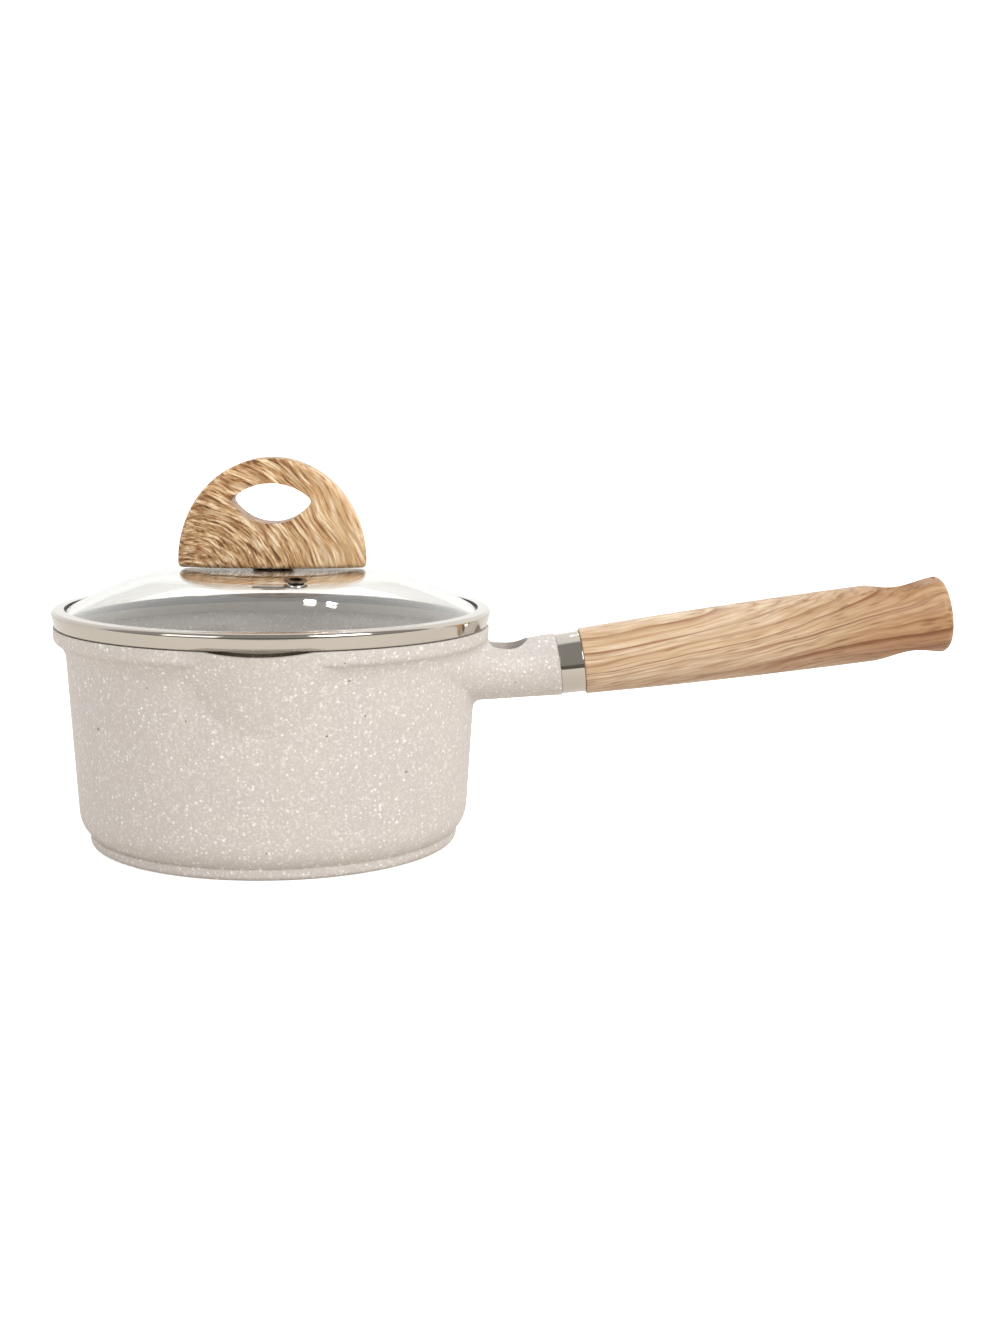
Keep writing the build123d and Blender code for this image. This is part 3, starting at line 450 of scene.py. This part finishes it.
over = np.concatenate([np.linspace(HOLE_R, 30, 12), np.linspace(31, 56, 40), np.linspace(57, GLASS_R - 1.2, 36)])
edge_top, edge_low = dome_height(GLASS_R, 0.0) - 0.2, dome_height(GLASS_R, SHEET_GLASS) + 0.9
glass_profile = np.concatenate([
    np.stack([over, dome_height(over, 0.0)], -1),
    hermite((GLASS_R - 0.9, dome_height(GLASS_R - 0.9, 0.0)), (GLASS_R, edge_top - 0.9), (1.0, -0.5), (0, -1.2), 6),
    hermite((GLASS_R, edge_low), (GLASS_R - 0.9, dome_height(GLASS_R - 0.9, SHEET_GLASS)), (0, -1.0), (-1.0, 0.5), 6),
    np.stack([over, dome_height(over, SHEET_GLASS)], -1)[::-1],
])
lid = piece("dome_glass", turned_surface(glass_profile, 224), "lid", "lid_glass", glass)

# Vent hole: cut square to the glass
VENT_AT, VENT_WAY, VENT_R = 41.4, radians(-74.9), 3.3
slope = (VENT_AT - SEAT_R) / BLEND_R
normal = Vector((slope * cos(VENT_WAY), slope * sin(VENT_WAY), (1 - slope**2) ** 0.5))
vent = Vector((VENT_AT * cos(VENT_WAY), VENT_AT * sin(VENT_WAY), float(dome_height(VENT_AT, 0.0)))) * MM
cutter_mesh = bpy.data.meshes.new("vent_cutter")
work = bmesh.new()
bmesh.ops.create_cone(work, cap_ends=True, segments=64, radius1=VENT_R * MM, radius2=VENT_R * MM, depth=12 * MM)
work.to_mesh(cutter_mesh)
work.free()
cutter = bpy.data.objects.new("vent_cutter", cutter_mesh)
cutter.matrix_world = Matrix.Translation(vent) @ normal.to_track_quat("Z", "Y").to_matrix().to_4x4()
bpy.context.scene.collection.objects.link(cutter)
cut = lid.modifiers.new("vent", "BOOLEAN")
cut.operation, cut.object, cut.solver = "DIFFERENCE", cutter, "EXACT"
bpy.context.view_layer.update()
lid.data = bpy.data.meshes.new_from_object(lid.evaluated_get(bpy.context.evaluated_depsgraph_get()))
lid.modifiers.clear()
bpy.data.objects.remove(cutter)

# Ferrule: a bright sleeve of oval section along the handle, its two rims softened
FERRULE = ((12.55, 11.70), (12.45, 12.00))     # half width and half height at the neck and at the grip
FERRULE_BORE = (9.1, 8.4)
FERRULE_SOFT = 0.4                             # radius of the softened rims


def sleeve(columns):
    """Points (d, y, h) of the sleeve in handle axes: along d the outer oval runs evenly between its two end
    sizes, less a quarter-circle inset of FERRULE_SOFT at each rim, and the bore is an even oval."""
    around = np.linspace(0, 2 * pi, columns, endpoint=False)
    rim = np.radians(np.linspace(0, 90, 5))
    length = GRIP_FRONT / MM
    start, drop = FERRULE_SOFT * (1 - np.sin(rim)), FERRULE_SOFT * (1 - np.cos(rim))
    along = np.concatenate([start[::-1], length - start])
    inset = np.concatenate([drop[::-1], drop])
    share = (along / length)[:, None]
    wide = FERRULE[0][0] * (1 - share) + FERRULE[1][0] * share - inset[:, None]
    tall = FERRULE[0][1] * (1 - share) + FERRULE[1][1] * share - inset[:, None]
    outer = np.stack([along[:, None] + 0 * around, wide * np.cos(around), tall * np.sin(around)], -1)
    bore_at = np.array([[length], [0.0]])
    bore = np.stack([bore_at + 0 * around, FERRULE_BORE[0] * np.cos(around) + 0 * bore_at,
                     FERRULE_BORE[1] * np.sin(around) + 0 * bore_at], -1)
    return np.concatenate([outer, bore])


def along_handle(points):
    """Handle axes (distance, sideways, up) in mm to the frame in metres: turned by the tilt about Y."""
    d, y, h = points[..., 0], points[..., 1], points[..., 2]
    return np.stack([NECK_END[0] + MM * (d * cos(HANDLE_TILT) - h * sin(HANDLE_TILT)), MM * y,
                     NECK_END[2] + MM * (d * sin(HANDLE_TILT) + h * cos(HANDLE_TILT))], -1)


piece("ferrule_sleeve", along_handle(sleeve(160)), "pan", "ferrule", steel)

# ------------------------------------------------------------------------------------------------
# Stage, light and camera
# ------------------------------------------------------------------------------------------------
scene = bpy.context.scene
scene.view_settings.view_transform = "Standard"
FLOOR_R, FLOOR_GAP = 6.0, 0.05 * MM            # the gap keeps the floor clear of the foot

floor_mesh = bpy.data.meshes.new("floor")
work = bmesh.new()
bmesh.ops.create_circle(work, cap_ends=True, segments=96, radius=FLOOR_R)
work.to_mesh(floor_mesh)
work.free()
floor_finish, floor_tree, floor_shader = material("pale_floor")
floor_shader.inputs["Roughness"].default_value = 0.9
path = add(floor_tree, "ShaderNodeLightPath").outputs
# Polished parts see the sheet end 0.26 m in front, as a short sweep of paper would
ahead_of = add(floor_tree, "ShaderNodeSeparateXYZ", {
    0: add(floor_tree, "ShaderNodeNewGeometry").outputs["Position"]}).outputs[1]
beyond = add(floor_tree, "ShaderNodeMapRange", {0: ahead_of, 1: -0.25, 2: -0.27}).outputs[0]
reflected = blend(floor_tree, beyond, colour("#ECE8E2"), colour("#4A4640"))
sheet = blend(floor_tree, path["Is Glossy Ray"], colour("#DDD8D1"), reflected)
floor_tree.links.new(sheet, floor_shader.inputs["Base Color"])
shown = add(floor_tree, "ShaderNodeEmission", {"Color": (1, 1, 1, 1), "Strength": 0.62})
white = add(floor_tree, "ShaderNodeBsdfDiffuse", {"Color": colour("#FBFAF9")})
seen = add(floor_tree, "ShaderNodeAddShader", {0: shown.outputs[0], 1: white.outputs[0]})
direct = sums(floor_tree, "MAXIMUM", path["Is Camera Ray"], path["Is Transmission Ray"])
both = add(floor_tree, "ShaderNodeMixShader", {0: direct, 1: floor_shader.outputs[0], 2: seen.outputs[0]})
floor_tree.links.new(both.outputs[0], floor_tree.nodes["Material Output"].inputs["Surface"])
floor_mesh.materials.append(floor_finish)
floor = bpy.data.objects.new("floor", floor_mesh)
floor.location.z = -FLOOR_GAP
scene.collection.objects.link(floor)

# A white studio behind and overhead, darker in front below about 50 degrees and towards the left
world = bpy.data.worlds.new("soft_studio")
world.use_nodes = True
scene.world = world
tree = world.node_tree
way = add(tree, "ShaderNodeSeparateXYZ", {0: add(tree, "ShaderNodeTexCoord").outputs["Generated"]})
front = add(tree, "ShaderNodeMapRange", {0: way.outputs[1], 1: 0.05, 2: -0.35},
            interpolation_type="SMOOTHSTEP").outputs[0]
low = add(tree, "ShaderNodeMapRange", {0: way.outputs[2], 1: 0.92, 2: 0.75},
          interpolation_type="SMOOTHSTEP").outputs[0]
shade = sums(tree, "MULTIPLY", front, low)
left = add(tree, "ShaderNodeMapRange", {0: way.outputs[0], 1: -0.1, 2: -0.8, 3: 0.0, 4: 0.35}).outputs[0]
overall = blend(tree, shade, (1.15, 1.15, 1.15, 1), (0.55, 0.55, 0.54, 1))
# Polished parts see a grey wall from the floor up to overhead
wall = add(tree, "ShaderNodeMapRange", {0: way.outputs[1], 1: 0.12, 2: -0.04}).outputs[0]
path = add(tree, "ShaderNodeLightPath").outputs
overall = blend(tree, sums(tree, "MULTIPLY", path["Is Glossy Ray"], wall), overall, (0.36, 0.355, 0.345, 1))
# Light that comes in through the lid is as bright from the front
overall = blend(tree, sums(tree, "MULTIPLY", path["Is Transmission Ray"], 0.85), overall, (1.15, 1.12, 1.05, 1))
tree.links.new(blend(tree, left, overall, (0.5, 0.5, 0.5, 1)), tree.nodes["Background"].inputs["Color"])

# Softboxes, square and aimed at the pan's middle: place, side and power. The two small ones behind leave the
# pair of highlights on the glass.
AIM = Vector((0.03, 0.0, 0.06))
for name, place, size, power in (
    ("key_right", (1.3, -1.5, 1.25), 1.1, 25), ("fill_left", (-1.3, -1.6, 0.8), 1.1, 8),
    ("back_pane_left", (0.108, 1.26, 1.55), 0.065, 0.32), ("back_pane_right", (0.221, 1.26, 1.52), 0.055, 0.22),
):
    data = bpy.data.lights.new(name, "AREA")
    data.shape, data.size, data.energy = "SQUARE", size, power
    softbox = bpy.data.objects.new(name, data)
    softbox.location = place
    softbox.rotation_euler = (AIM - Vector(place)).to_track_quat("-Z", "Y").to_euler()
    scene.collection.objects.link(softbox)

# Camera: a little right of the axis, looking slightly down, with a trace of roll
yaw, pitch, roll = radians(3.33), radians(8.64), radians(0.57)
ahead = Vector((sin(yaw) * cos(pitch), cos(yaw) * cos(pitch), -sin(pitch)))
level = Vector((cos(yaw), -sin(yaw), 0))
above = level.cross(ahead)
across = level * cos(roll) + above * sin(roll)
upward = above * cos(roll) - level * sin(roll)
camera_data = bpy.data.cameras.new("camera")
camera_data.lens, camera_data.sensor_width = 48.61, 36
camera = bpy.data.objects.new("camera", camera_data)
camera.matrix_world = Matrix.Translation((0.0475, -0.6966, 0.1729)) @ Matrix(
    (across, upward, -ahead)).transposed().to_4x4()
scene.collection.objects.link(camera)
scene.camera = camera
